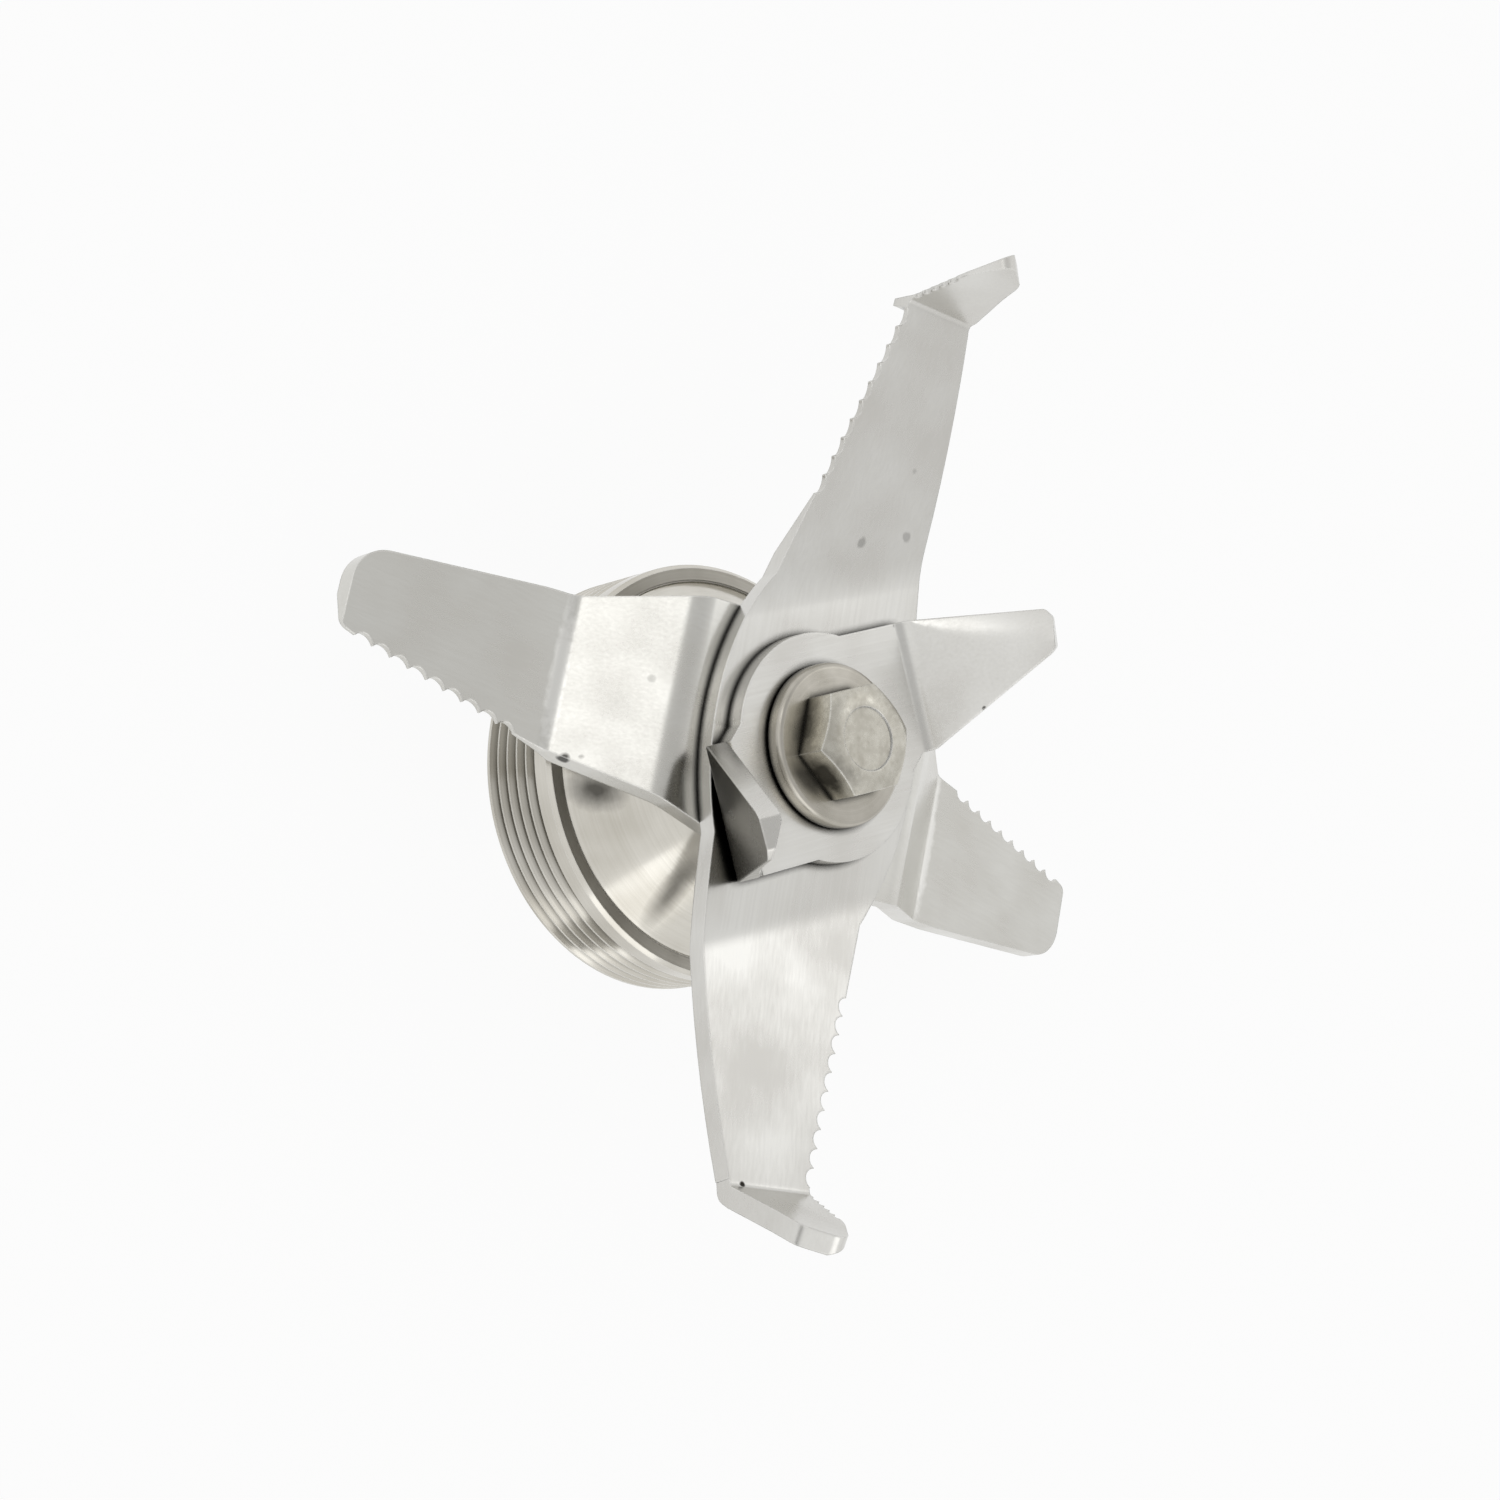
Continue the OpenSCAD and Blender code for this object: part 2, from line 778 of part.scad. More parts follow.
// One arm from the axis to its tip bend
module main_arm(rise, reach, angle) {
    sharp = tip_corner(rise, reach, angle, main_tip_sharp);
    blunt = tip_corner(rise, reach, angle, -main_tip_blunt);
    line_start = [0, main_hub_w * main_sharp_line_share];
    first = line_start + (sharp - line_start) * main_tooth_start_share;
    count = floor(norm(sharp - first) / tooth_pitch);
    wide = main_reach;
    bend = [main_bend_x, 0, main_bend_inner];
    difference() {
        intersection() {
            rotate([0, 0, main_skew])
                bent_sheet([[-wide, 0, 0], bend, away(bend, rise, wide)], wide, wide);
            translate([0, 0, -far / 2])
                linear_extrude(height = far)
                    difference() {
                        union() {
                            main_hub_plan();
                            main_arm_plan(line_start, sharp, blunt);
                        }
                        tooth_row(first, sharp, count, tooth_depth);
                    }
            on_tip(rise, reach)
                translate([eps / 2 - tip_run(angle) - far, -far / 2, -far / 2])
                    cube([far, far, far]);
        }
        on_arm(rise)
            edge_grind(to_arm(rise, first), to_arm(rise, sharp));
    }
}

// Upturned tip from the start of its bend
module main_tip(angle) {
    run = tip_run(angle);
    corners = from_shares(tip_corner_shares, tip_len, main_tip_sharp, main_tip_blunt);
    sharp = [run, main_tip_sharp];
    last = [corners[0][0], corners[0][1]];
    bend = [0, 0, tip_bend_inner];
    outline = rounded(concat([[run - eps, -main_tip_blunt, 0], [run - eps, main_tip_sharp, 0]], corners));
    difference() {
        bent_sheet([[-run, 0, 0], bend, away(bend, angle, 2 * tip_len)], main_tip_sharp - eps,
            main_tip_blunt - eps);
        rotate([0, -angle, 0]) {
            flap_waste(outline, run);
            translate([0, 0, -2 * sheet_t])
                linear_extrude(height = 4 * sheet_t)
                    tooth_row(sharp, sharp + (last - sharp) * tip_tooth_end_share, tip_teeth,
                        tooth_depth * tip_tooth_depth_share);
            edge_grind(sharp, last);
        }
    }
}

module main_blade() {
    reach_b = main_reach * main_reach_b_share;
    color("#cfcfcb")
        translate([0, 0, main_top_z])
            difference() {
                union() {
                    main_arm(main_rise_a, main_reach, tip_bend_a);
                    on_tip(main_rise_a, main_reach)
                        main_tip(tip_bend_a);
                    rotate([0, 0, 180]) {
                        main_arm(main_rise_b, reach_b, tip_bend_b);
                        on_tip(main_rise_b, reach_b)
                            main_tip(tip_bend_b);
                    }
                }
                post_hole();
            }
}

// Low blade: a flat hub whose arms step down and run out nearly level

// First and last point of the serrated edge, in the plan
low_first = [low_reach * low_sharp_shares[2][0], low_arm_w * low_sharp_shares[2][1]];
low_last = [low_reach * low_tooth_end_shares[0], low_arm_w * low_tooth_end_shares[1]];

// Depth of the step between the hub and the outer arms
low_step = (low_foot_r - low_bend_r) * tan(low_drop);

// Point of the plan in the plane of an outer arm
function to_low(p) = [(p[0] - low_foot_r) / cos(low_droop), p[1]];

module low_plan() {
    half = concat([[0, low_hub_w, low_reach * low_hub_bow_share]],
        from_shares(low_sharp_shares, low_reach, low_arm_w, low_arm_w),
        [[low_last[0], low_last[1], 0]],
        from_shares(low_end_shares, low_reach, low_arm_w, low_arm_w),
        from_shares(low_blunt_shares, low_reach, low_arm_w, low_arm_w));
    difference() {
        polygon(rounded(concat(half, [for (c = half) [-c[0], -c[1], c[2]]])));
        for (side = [0, 180])
            rotate(side)
                tooth_row(low_first, low_last, floor(norm(low_last - low_first) / tooth_pitch), tooth_depth);
    }
}

// Frame of the low blade's outer arm, at the corner of its lower bend
module on_low_arm() {
    translate([low_foot_r, 0, -low_step])
        rotate([0, low_droop, 0])
            children();
}

module low_blade() {
    top_bend = [low_bend_r, 0, low_bend_inner];
    foot_bend = [low_foot_r, -low_step, low_bend_inner];
    arm = [top_bend, foot_bend, away(foot_bend, -low_droop, low_reach)];
    other_arm = [for (i = [2:-1:0]) [-arm[i][0], arm[i][1], arm[i][2]]];
    color("#cdcdc9")
        translate([0, 0, low_top_z])
            rotate([0, 0, 90 + low_turn])
                difference() {
                    intersection() {
                        bent_sheet(concat(other_arm, arm), low_reach, low_reach);
                        translate([0, 0, -far / 2])
                            linear_extrude(height = far)
                                low_plan();
                    }
                    for (side = [0, 180])
                        rotate([0, 0, side])
                            on_low_arm()
                                edge_grind(to_low(low_first), to_low(low_last));
                    rotate([0, 0, -90 - low_turn])
                        post_hole();
                }
}

// Top blade: a disc with two short wings, ground to a broad bevel

// Flat part between the disc and one wing's bend
module wing_root(end) {
    heel = [wing_heel_foot_shares[0] * wing_bend_r, -wing_heel_foot_shares[1] * wing_root_w];
    translate([0, 0, -sheet_t])
        linear_extrude(height = sheet_t)
            polygon([[0, 0],
                [heel[0], wing_root_w],
                [end, wing_root_w],
                [end, -wing_root_w * wing_heel_share],
                heel]);
}

// Wheel that grinds the sharp edge of a wing and runs out at its root
module wing_grind(start, end) {
    heading = atan2(end[1] - start[1], end[0] - start[0]);
    translate([start[0], start[1], edge_land - sheet_t])
        rotate([0, 0, heading])
            translate([wing_len * wing_wheel_share, 0, 0])
                rotate([-wing_bevel_angle, 0, 0])
                    translate([0, 0, wing_wheel_r])
                        rotate([90, 0, 0])
                            cylinder(r = wing_wheel_r, h = 4 * wing_bevel_w, center = true, $fn = 4 * $fn);
}

module wing(angle) {
    run = wing_bend_inner * tan(angle / 2);
    heel_w = wing_root_w * wing_heel_share;
    corners = from_shares(wing_corner_shares, wing_len, wing_root_w, wing_root_w);
    outline = rounded(concat([[run, -heel_w, 0], [run, wing_root_w, 0]], corners));
    bend = [wing_bend_r, 0, wing_bend_inner];
    wing_root(wing_bend_r - run);
    difference() {
        bent_sheet([[top_disc_r / 2, 0, 0], bend, away(bend, angle, 2 * wing_len)], wing_root_w, heel_w);
        translate([wing_bend_r, 0, 0])
            rotate([0, -angle, 0]) {
                flap_waste(outline, run);
                wing_grind([run, wing_root_w], [corners[0][0], corners[0][1]]);
            }
    }
}

module top_blade() {
    color("#d2d2ce")
        translate([0, 0, top_top_z])
            difference() {
                union() {
                    translate([0, 0, -sheet_t])
                        cylinder(r = top_disc_r, h = sheet_t);
                    rotate([0, 0, wing_turn])
                        wing(wing_bend_a);
                    rotate([0, 0, wing_turn + 180])
                        wing(wing_bend_b);
                }
                post_hole();
            }
}

// Fastening

module washer() {
    color("#a9a6a0")
        translate([0, 0, top_top_z])
            rotate_extrude()
                polygon(rounded([[bolt_r + washer_hole_gap, 0, 0],
                    [washer_r, 0, washer_round / 2],
                    [washer_r, washer_t, washer_round],
                    [bolt_r + washer_hole_gap, washer_t, 0]]));
}

module hex_bolt() {
    bevel_r = bolt_flats / 2 * head_bevel_share;
    dish_r = bolt_flats / 2 * head_dish_share;
    color("#b3b0aa") {
        difference() {
            intersection() {
                translate([0, 0, head_z])
                    cylinder(r = head_corner_r, h = bolt_head_h, $fn = 6);
                rotate_extrude()
                    polygon([[0, head_z],
                        [head_corner_r, head_z],
                        [head_corner_r, head_z + bolt_head_h - (head_corner_r - bevel_r) * tan(30)],
                        [bevel_r, head_z + bolt_head_h],
                        [0, head_z + bolt_head_h]]);
            }
            translate([0, 0, head_z + bolt_head_h - head_dish])
                cylinder(r = dish_r, h = bolt_head_h);
        }
        rotate_extrude()
            polygon([[0, head_z - bolt_len],
                [bolt_r - bolt_point, head_z - bolt_len],
                [bolt_r, head_z - bolt_len + bolt_point],
                [bolt_r, head_z],
                [0, head_z]]);
    }
}

housing();
seal_case();
seal_rubber();
garter_spring();
outer_ring(upper_bearing_z);  // upper_outer_ring
shields(upper_bearing_z);  // upper_shields
cage(upper_bearing_z);  // upper_cage
balls(upper_bearing_z);  // upper_balls
inner_ring(upper_bearing_z);  // upper_inner_ring
outer_ring(lower_bearing_z);  // lower_outer_ring
shields(lower_bearing_z);  // lower_shields
cage(lower_bearing_z);  // lower_cage
balls(lower_bearing_z);  // lower_balls
inner_ring(lower_bearing_z);  // lower_inner_ring
outer_spacer();
inner_spacer();
bore_clip();
shaft_clip();
spindle();
drive_hub();
cross_pin();
low_blade();
main_blade();
top_blade();
washer();
hex_bolt();
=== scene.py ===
"""Looks of a jug blender's blade assembly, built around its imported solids.

Lengths are metres unless a name ends in _mm. The collar stands on the floor
at z = 0, the axis of rotation is Z, the long blade points along X and the low
blade along Y.
"""

import logging
import math
from dataclasses import dataclass, field
from enum import Enum
from typing import Any

import bpy
from mathutils import Matrix, Vector

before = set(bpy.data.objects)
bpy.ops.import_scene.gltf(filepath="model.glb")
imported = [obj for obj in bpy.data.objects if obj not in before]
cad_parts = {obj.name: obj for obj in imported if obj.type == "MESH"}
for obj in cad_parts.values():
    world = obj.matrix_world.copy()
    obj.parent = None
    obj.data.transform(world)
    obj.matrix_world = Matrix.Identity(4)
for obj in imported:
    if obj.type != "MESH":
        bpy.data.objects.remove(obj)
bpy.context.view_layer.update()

log = logging.getLogger("blade_assembly")
MM = 0.001
WAVE_LENGTH_MM = 18.0
RAGGED_MM = 0.9
# Levels of a noise texture between which a finish goes from one value to the other
NOISE_LOW = 0.35
NOISE_HIGH = 0.65
# Cosine between true and rounded normal where an edge starts to get its rubbed colour and painted highlight,
# and where it has them fully
EDGE_START = 0.995
EDGE_FULL = 0.9
# Distance from a mark's middle, in reaches, where it starts to fade and where it ends
RAGGED_FADE = (1.0, 1.5)
SMEAR_FADE = (0.1, 1.2)
RAGGED_SHARE = 0.9
# Open share of the sky where the painted shade in a crevice is full, and where it is gone
CREVICE_FULL = 0.5
CREVICE_UNSHADED = 0.85
CREVICE_SHADE_DEPTH = 0.92
GROOVE_SHADE = 0.85
GROOVE_SLACK_MM = 0.1
# Upward share of the normal where a lower face starts and is full, and the same for a faced one
UNDER_NORMAL = (-0.1, -0.5)
FACED_NORMAL = (0.9, 0.98)


def linear(colour: str) -> tuple[float, float, float, float]:
    """Turns an sRGB hex colour into the linear colour that Blender's sockets take.

    Args:
        colour: six hex digits after a hash.

    Returns:
        Linear red, green, blue and an alpha of 1.
    """
    channels = [int(colour[i:i + 2], 16) / 255 for i in (1, 3, 5)]
    straight = [c / 12.92 if c <= 0.04045 else ((c + 0.055) / 1.055) ** 2.4 for c in channels]
    return straight[0], straight[1], straight[2], 1.0


def add_node(tree: bpy.types.NodeTree, kind: str, settings: dict[Any, Any] | None = None,
             links: dict[Any, bpy.types.NodeSocket] | None = None) -> bpy.types.Node:
    """Adds one node with its settings and its incoming links.

    Args:
        tree: the node tree that gets the node.
        kind: Blender's name for the type of node.
        settings: values by property name, or by an input's name or number.
        links: output sockets by the name or number of the input they feed.

    Returns:
        The new node.
    """
    node = tree.nodes.new(kind)
    for key, value in (settings or {}).items():
        if isinstance(key, str) and key not in node.inputs and hasattr(node, key):
            setattr(node, key, value)
        else:
            node.inputs[key].default_value = value
    for key, socket in (links or {}).items():
        tree.links.new(socket, node.inputs[key])
    return node


def new_material(name: str) -> tuple[bpy.types.Material, bpy.types.NodeTree]:
    """Makes a material with an empty node tree.

    Args:
        name: the material's name.

    Returns:
        The material and its tree.
    """
    material = bpy.data.materials.new(name)
    material.use_nodes = True
    material.node_tree.nodes.clear()
    return material, material.node_tree


def from_axis(tree: bpy.types.NodeTree,
              place: bpy.types.NodeSocket) -> tuple[bpy.types.NodeSocket, bpy.types.NodeSocket]:
    """Measures a place from the axis of rotation and from the floor.

    Args:
        tree: the material's node tree.
        place: coordinates in metres.

    Returns:
        The sockets with the radius and the height.
    """
    flat = add_node(tree, "ShaderNodeVectorMath", {"operation": "MULTIPLY", 1: (1, 1, 0)}, {0: place})
    radius = add_node(tree, "ShaderNodeVectorMath", {"operation": "LENGTH"}, {0: flat.outputs["Vector"]})
    parts = add_node(tree, "ShaderNodeSeparateXYZ", {}, {0: place})
    return radius.outputs["Value"], parts.outputs["Z"]


def edge_rub_and_highlight(tree: bpy.types.NodeTree, edge_mm: float,
               lightening: float) -> tuple[bpy.types.NodeSocket, bpy.types.NodeSocket]:
    """Rounds the edges in the shading and finds the edges that get lighter: rubbed by handling, and a
    painted highlight.

    Args:
        tree: the material's node tree.
        edge_mm: rounding of the edges.
        lightening: how far an edge goes to its rubbed and painted highlight colour.

    Returns:
        The sockets with the rounded normal and the lightening.
    """
    rounded = add_node(tree, "ShaderNodeBevel", {"samples": 4, "Radius": edge_mm * MM}).outputs[0]
    true_normal = add_node(tree, "ShaderNodeNewGeometry").outputs["Normal"]
    level = add_node(tree, "ShaderNodeVectorMath", {"operation": "DOT_PRODUCT"},
                     {0: rounded, 1: true_normal})
    edge = add_node(tree, "ShaderNodeMapRange",
                    {"From Min": EDGE_START, "From Max": EDGE_FULL, "To Min": 0.0, "To Max": lightening},
                    {"Value": level.outputs["Value"]})
    return rounded, edge.outputs[0]


def blended(tree: bpy.types.NodeTree, colour: bpy.types.NodeSocket, over: str,
            cover: bpy.types.NodeSocket) -> bpy.types.NodeSocket:
    """Lays one plain colour over another.

    Args:
        tree: the material's node tree.
        colour: the colour below.
        over: the colour above, as a hex code.
        cover: how much of the upper colour shows.

    Returns:
        The socket with the blend.
    """
    return add_node(tree, "ShaderNodeMix", {"data_type": "RGBA", 7: linear(over)},
                    {0: cover, 6: colour}).outputs[2]


class MachinedBy(Enum):
    """How a steel surface got its lines."""

    BRUSHING = "brushed"
    TURNING = "turned"
    TUMBLING = "tumbled"


@dataclass(frozen=True)
class Mark:
    """A small dirt spot, pit or rub on a surface, or a patch of painted reflection.

    Attributes:
        place_mm: its middle, in the part's frame.
        reach_mm: half extents along X, Y and Z.
        depth: how far the surface goes to the mark's colour, 0 to 1.
        colour: dark for a dirt spot, a pit or a painted reflection, light for a scuff.
        blur: 0 for a ragged outline, 1 for a smear that fades from its middle.
    """

    place_mm: tuple[float, float, float]
    reach_mm: tuple[float, float, float]
    depth: float
    colour: str = "#26241f"
    blur: float = 0.0

    def cover(self, tree: bpy.types.NodeTree, place: bpy.types.NodeSocket,
              ragged: bpy.types.NodeSocket) -> bpy.types.NodeSocket:
        """Finds how much of the surface the mark covers.

        Args:
            tree: the material's node tree.
            place: coordinates in metres.
            ragged: noise that breaks up the outline.

        Returns:
            The socket with the cover.
        """
        start, end = (r + (s - r) * self.blur for r, s in zip(RAGGED_FADE, SMEAR_FADE))
        offset = add_node(tree, "ShaderNodeVectorMath",
                          {"operation": "SUBTRACT", 1: tuple(v * MM for v in self.place_mm)}, {0: place})
        shares = add_node(tree, "ShaderNodeVectorMath",
                          {"operation": "DIVIDE", 1: tuple(v * MM for v in self.reach_mm)},
                          {0: offset.outputs["Vector"]})
        away = add_node(tree, "ShaderNodeVectorMath", {"operation": "LENGTH"}, {0: shares.outputs["Vector"]})
        broken = add_node(tree, "ShaderNodeMath",
                          {"operation": "MULTIPLY_ADD", 1: RAGGED_SHARE * (1 - self.blur)},
                          {0: ragged, 2: away.outputs["Value"]})
        return add_node(tree, "ShaderNodeMapRange",
                        {"From Min": start, "From Max": end, "To Min": self.depth, "To Max": 0.0},
                        {"Value": broken.outputs[0]}).outputs[0]


@dataclass(frozen=True)
class SteelFinish:
    """A bare steel or brass surface, with the lines that its making left.

    Attributes:
        name: common name and how the surface was made.
        slot: slot of the record that the finish stands for; not used.
        made_by: kind of lines.
        light, dark: the metal's colour where it is clean and where it is dull.
        groove_shade: colour of the painted shade in a thread's grooves.
        crevice_shade: colour of the painted shade in crevices and between parts.
        rub_and_highlight_colour: colour of edges that handling has polished, which also paints a highlight
            along every edge.
        roughness: lowest and highest roughness.
        line_mm: length and spacing of the lines.
        turn: direction of brushed lines about Z, in degrees.
        cloud_mm: size of the dull and bright patches.
        relief_mm: depth of the lines in the bump.
        line_share: how much of the colour's change follows the lines; the
            rest follows the patches.
        wave_mm: height of the slow waves of hand-straightened sheet.
        under_shade: colour of the painted shade on faces that look down, or None.
        edge_mm: rounding of the edges.
        edge_lightening: how far an edge goes to its rubbed and painted highlight colour.
        anisotropic: stretch of the highlight across turned lines.
        groove_mm: inner and outer radius, lower and upper height of a thread
        whose grooves get painted shade, or None.
        crevice_mm: reach of the painted shade where another surface meets this one.
        faced: roughness that a facing cut adds to faces square to the axis.
        marks: stains, scuffs and painted reflections at known places.
    """

    name: str
    slot: str
    made_by: MachinedBy
    light: str
    dark: str
    groove_shade: str = "#4a463e"
    crevice_shade: str = "#171613"
    rub_and_highlight_colour: str = "#e4e3df"
    roughness: tuple[float, float] = (0.22, 0.38)
    line_mm: tuple[float, float] = (16.0, 0.3)
    turn: float = 0.0
    cloud_mm: float = 9.0
    relief_mm: float = 0.006
    line_share: float = 0.5
    wave_mm: float = 0.0
    under_shade: str | None = None
    edge_mm: float = 0.12
    edge_lightening: float = 0.7
    anisotropic: float = 0.0
    groove_mm: tuple[float, float, float, float] | None = None
    crevice_mm: float = 1.2
    faced: float = 0.0
    marks: tuple[Mark, ...] = ()

    def _line_coordinates(self, tree: bpy.types.NodeTree,
                          place: bpy.types.NodeSocket) -> bpy.types.NodeSocket:
        """Scales the surface's coordinates so that one unit is one line.

        Args:
            tree: the material's node tree.
            place: coordinates in metres.

        Returns:
            The socket with coordinates counted in lines.
        """
        length, spacing = (size * MM for size in self.line_mm)
        if self.made_by is MachinedBy.TURNING:
            radius, height = from_axis(tree, place)
            profile = add_node(tree, "ShaderNodeCombineXYZ", {}, {"X": radius, "Z": height})
            return add_node(tree, "ShaderNodeVectorMath", {"operation": "SCALE", "Scale": 1 / spacing},
                            {0: profile.outputs[0]}).outputs["Vector"]
        across = spacing if self.made_by is MachinedBy.BRUSHING else length
        return add_node(tree, "ShaderNodeMapping",
                        {"vector_type": "TEXTURE", "Rotation": (0, 0, math.radians(self.turn)),
                         "Scale": (length, across, across)}, {"Vector": place}).outputs["Vector"]

    def _groove_cover(self, tree: bpy.types.NodeTree, place: bpy.types.NodeSocket) -> bpy.types.NodeSocket:
        """Finds how much painted shade darkens the thread's grooves.

        Args:
            tree: the material's node tree.
            place: coordinates in metres.

        Returns:
            The socket with the cover.
        """
        inner, outer, low, high = (size * MM for size in self.groove_mm)
        radius, height = from_axis(tree, place)
        cover = add_node(tree, "ShaderNodeMapRange",
                         {"From Min": inner, "From Max": outer, "To Min": GROOVE_SHADE, "To Max": 0.0},
                         {"Value": radius}).outputs[0]
        limits = (("GREATER_THAN", inner - GROOVE_SLACK_MM * MM, radius), ("GREATER_THAN", low, height),
                  ("LESS_THAN", high, height))
        for operation, limit, measured in limits:
            within = add_node(tree, "ShaderNodeMath", {"operation": operation, 1: limit}, {0: measured})
            cover = add_node(tree, "ShaderNodeMath", {"operation": "MULTIPLY"},
                             {0: cover, 1: within.outputs[0]}).outputs[0]
        return cover

    def _colour(self, tree: bpy.types.NodeTree, place: bpy.types.NodeSocket, upward: bpy.types.NodeSocket,
                blend: bpy.types.NodeSocket, edge: bpy.types.NodeSocket) -> bpy.types.NodeSocket:
        """Builds the colour: metal, painted shade on lower faces, marks, painted shade in grooves and
        crevices, and edges lightened by rubbing and a painted highlight, in that order.

        Args:
            tree: the material's node tree.
            place: coordinates in metres.
            upward: upward share of the normal.
            blend: lines and patches together.
            edge: lightening of the edges, by rubbing and a painted highlight.

        Returns:
            The socket with the colour.
        """
        ragged = add_node(tree, "ShaderNodeTexNoise", {"Scale": 1 / (RAGGED_MM * MM), "Detail": 2.0},
                          {"Vector": place}).outputs["Fac"]
        dull = add_node(tree, "ShaderNodeMapRange", {"From Min": NOISE_LOW, "From Max": NOISE_HIGH},
                        {"Value": blend})
        colour = add_node(tree, "ShaderNodeMix",
                          {"data_type": "RGBA", 6: linear(self.light), 7: linear(self.dark)},
                          {0: dull.outputs[0]}).outputs[2]
        # Painted shade on faces that look down
        if self.under_shade:
            start, full = UNDER_NORMAL
            down = add_node(tree, "ShaderNodeMapRange", {"From Min": start, "From Max": full},
                            {"Value": upward})
            colour = blended(tree, colour, self.under_shade, down.outputs[0])
        for mark in self.marks:
            colour = blended(tree, colour, mark.colour, mark.cover(tree, place, ragged))
        # Painted shade in the thread's grooves, darkest at their roots
        if self.groove_mm:
            colour = blended(tree, colour, self.groove_shade, self._groove_cover(tree, place))
        # Painted shade: ambient occlusion darkens crevices and the joints between parts
        open_share = add_node(tree, "ShaderNodeAmbientOcclusion",
                              {"samples": 8, "Distance": self.crevice_mm * MM})
        crevice = add_node(tree, "ShaderNodeMapRange",
                           {"From Min": CREVICE_FULL, "From Max": CREVICE_UNSHADED, "To Min": CREVICE_SHADE_DEPTH,
                            "To Max": 0.0}, {"Value": open_share.outputs["AO"]})
        # Crevices take the painted shade, then edges the rubbed colour and painted highlight
        return blended(tree, blended(tree, colour, self.crevice_shade, crevice.outputs[0]), self.rub_and_highlight_colour, edge)

    def _roughness(self, tree: bpy.types.NodeTree, upward: bpy.types.NodeSocket,
                   blend: bpy.types.NodeSocket) -> bpy.types.NodeSocket:
        """Builds the roughness, with what a facing cut adds.

        Args:
            tree: the material's node tree.
            upward: upward share of the normal.
            blend: lines and patches together.

        Returns:
            The socket with the roughness.
        """
        smooth, coarse = self.roughness
        rough = add_node(tree, "ShaderNodeMapRange",
                         {"From Min": NOISE_LOW, "From Max": NOISE_HIGH, "To Min": smooth, "To Max": coarse},
                         {"Value": blend})
        if self.faced:
            start, full = FACED_NORMAL
            square = add_node(tree, "ShaderNodeMapRange",
                              {"From Min": start, "From Max": full, "To Min": 0.0, "To Max": self.faced},
                              {"Value": upward})
            rough = add_node(tree, "ShaderNodeMath", {"operation": "ADD"},
                             {0: rough.outputs[0], 1: square.outputs[0]})
        return rough.outputs[0]

    def _relief(self, tree: bpy.types.NodeTree, place: bpy.types.NodeSocket, lines: bpy.types.NodeSocket,
                rounded: bpy.types.NodeSocket) -> bpy.types.NodeSocket:
        """Builds the normal: rounded edges, slow waves and fine lines.

        Args:
            tree: the material's node tree.
            place: coordinates in metres.
            lines: noise of the lines.
            rounded: normal with rounded edges.

        Returns:
            The socket with the normal.
        """
        if self.wave_mm:
            wave = add_node(tree, "ShaderNodeTexNoise", {"Scale": 1 / (WAVE_LENGTH_MM * MM), "Detail": 0.0},
                            {"Vector": place})
            rounded = add_node(tree, "ShaderNodeBump", {"Strength": 1.0, "Distance": self.wave_mm * MM},
                               {"Height": wave.outputs["Fac"], "Normal": rounded}).outputs[0]
        return add_node(tree, "ShaderNodeBump", {"Strength": 0.5, "Distance": self.relief_mm * MM},
                        {"Height": lines, "Normal": rounded}).outputs[0]

    def material(self) -> bpy.types.Material:
        """Builds the material.

        Returns:
            The finished material.
        """
        material, tree = new_material(self.name)
        coordinates = add_node(tree, "ShaderNodeTexCoord")
        place = coordinates.outputs["Object"]
        upward = add_node(tree, "ShaderNodeSeparateXYZ", {}, {0: coordinates.outputs["Normal"]}).outputs["Z"]
        lines = add_node(tree, "ShaderNodeTexNoise", {"Scale": 1.0, "Detail": 3.0, "Roughness": 0.6},
                         {"Vector": self._line_coordinates(tree, place)}).outputs["Fac"]
        cloud = add_node(tree, "ShaderNodeTexNoise",
                         {"Scale": 1 / (self.cloud_mm * MM), "Detail": 2.0, "Roughness": 0.5},
                         {"Vector": place}).outputs["Fac"]
        blend = add_node(tree, "ShaderNodeMix", {"data_type": "FLOAT", 0: self.line_share},
                         {2: cloud, 3: lines}).outputs[0]
        rounded, edge = edge_rub_and_highlight(tree, self.edge_mm, self.edge_lightening)
        shader_links = {"Base Color": self._colour(tree, place, upward, blend, edge),
                        "Roughness": self._roughness(tree, upward, blend),
                        "Normal": self._relief(tree, place, lines, rounded)}
        if self.anisotropic:
            around = add_node(tree, "ShaderNodeTangent", {"direction_type": "RADIAL", "axis": "Z"})
            shader_links["Tangent"] = around.outputs[0]
        shader = add_node(tree, "ShaderNodeBsdfPrincipled",
                          {"Metallic": 1.0, "Anisotropic": self.anisotropic}, shader_links)
        add_node(tree, "ShaderNodeOutputMaterial", {}, {"Surface": shader.outputs[0]})
        return material


